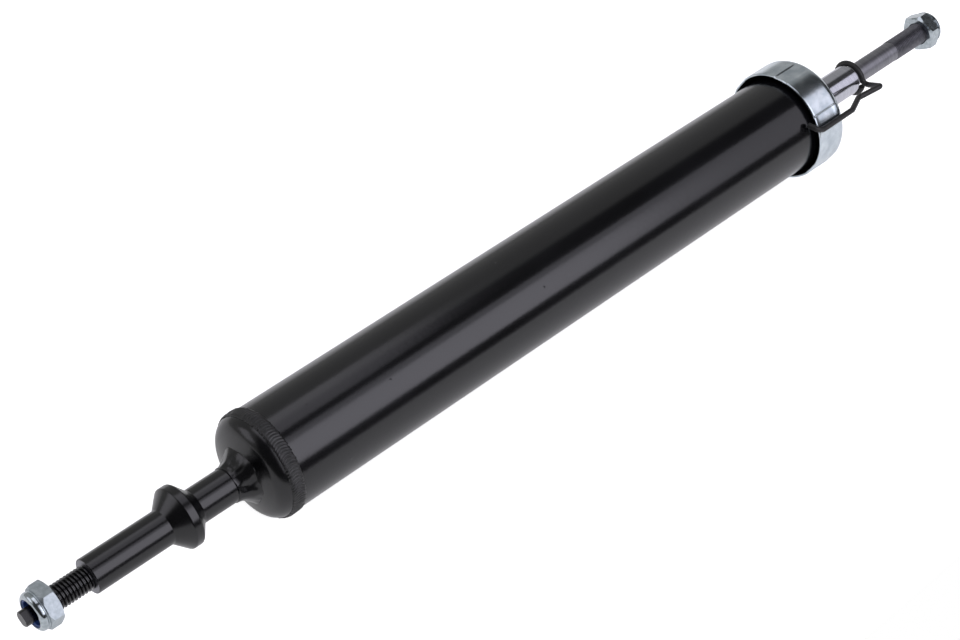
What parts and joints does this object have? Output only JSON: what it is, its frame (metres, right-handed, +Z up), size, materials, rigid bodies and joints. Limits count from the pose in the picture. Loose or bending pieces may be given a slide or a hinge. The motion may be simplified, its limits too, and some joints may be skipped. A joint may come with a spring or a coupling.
{
  "type": "shock absorber",
  "caption": "Telescopic shock absorber with a stem mount at each end, a steel stop cap, lock nuts and a wire clip that holds the rod in.",
  "frame": {"origin": "on the axis, at the middle of the lower stem's bush seat", "axes": "+X along the axis from the lower stem to the rod end, +Z up as it lies"},
  "size_m": [0.5233, 0.0515, 0.0512],
  "materials": {
    "black_enamel": "gloss black enamel",
    "zinc_plate": "bright zinc plate",
    "chromed_rod": "ground and chromed",
    "blue_nylon": "moulded nylon",
    "black_wire": "black phosphate",
    "plain_steel": "plain, oiled",
    "sintered_iron": "sintered",
    "bronze_bush": "lined bronze",
    "black_rubber": "moulded",
    "filled_ptfe": "filled PTFE"
  },
  "bodies": {
    "barrel": {"lower_stem": "black_enamel", "base_dome": "black_enamel", "stem_weld": "black_enamel", "dome_weld": "black_enamel", "reserve_tube": "black_enamel", "stop_cap": "zinc_plate", "working_cylinder": "plain_steel", "foot_valve_body": "sintered_iron", "foot_valve_discs": "plain_steel", "foot_valve_rivet": "plain_steel", "foot_valve_spring": "plain_steel", "rod_guide": "sintered_iron", "guide_bush": "bronze_bush", "guide_ring": "black_rubber", "rod_seal": "black_rubber", "garter_spring": "plain_steel", "seal_washer": "plain_steel"},
    "intake_valve": {"intake_plate": "plain_steel"},
    "band": {"piston_band": "filled_ptfe"},
    "rod": {"piston_rod": "chromed_rod", "piston": "sintered_iron", "piston_discs": "plain_steel", "check_spring": "plain_steel", "valve_stop": "plain_steel", "piston_nut": "plain_steel", "rebound_stop": "plain_steel", "rebound_bumper": "black_rubber"},
    "check_valve": {"check_plate": "plain_steel"},
    "clip": {"retaining_clip": "black_wire"},
    "lower_nut": {"lower_nut": "zinc_plate", "lower_nut_insert": "blue_nylon"},
    "upper_nut": {"upper_nut": "zinc_plate", "upper_nut_insert": "blue_nylon"}
  },
  "joints": [
    {"name": "rod_slide", "type": "slide", "parent": "barrel", "child": "band", "axis": [1, 0, 0], "range_m": [-0.004, 0.18], "deforming": ["retaining_clip"]},
    {"name": "rod_turn", "type": "hinge", "parent": "band", "child": "rod", "pos_m": [0, 0, 0], "axis": [1, 0, 0], "continuous": true},
    {"name": "clip_release", "type": "hinge", "parent": "band", "child": "clip", "pos_m": [0.41659, 0.00675, -0.00303], "axis": [0, 0.4099, 0.9121], "range_deg": [0, 8]},
    {"name": "lower_nut_off", "type": "slide", "parent": "barrel", "child": "lower_nut", "axis": [-1, 0, 0], "range_m": [-0.0155, 0.04]},
    {"name": "upper_nut_off", "type": "slide", "parent": "rod", "child": "upper_nut", "axis": [1, 0, 0], "range_m": [-0.0204, 0.04]},
    {"name": "intake_lift", "type": "slide", "parent": "barrel", "child": "intake_valve", "axis": [1, 0, 0], "range_m": [0, 0.0008], "stiffness_N_per_m": 500, "deforming": ["foot_valve_spring"]},
    {"name": "check_lift", "type": "slide", "parent": "rod", "child": "check_valve", "axis": [1, 0, 0], "range_m": [0, 0.0008], "stiffness_N_per_m": 500, "deforming": ["check_spring"]}
  ]
}
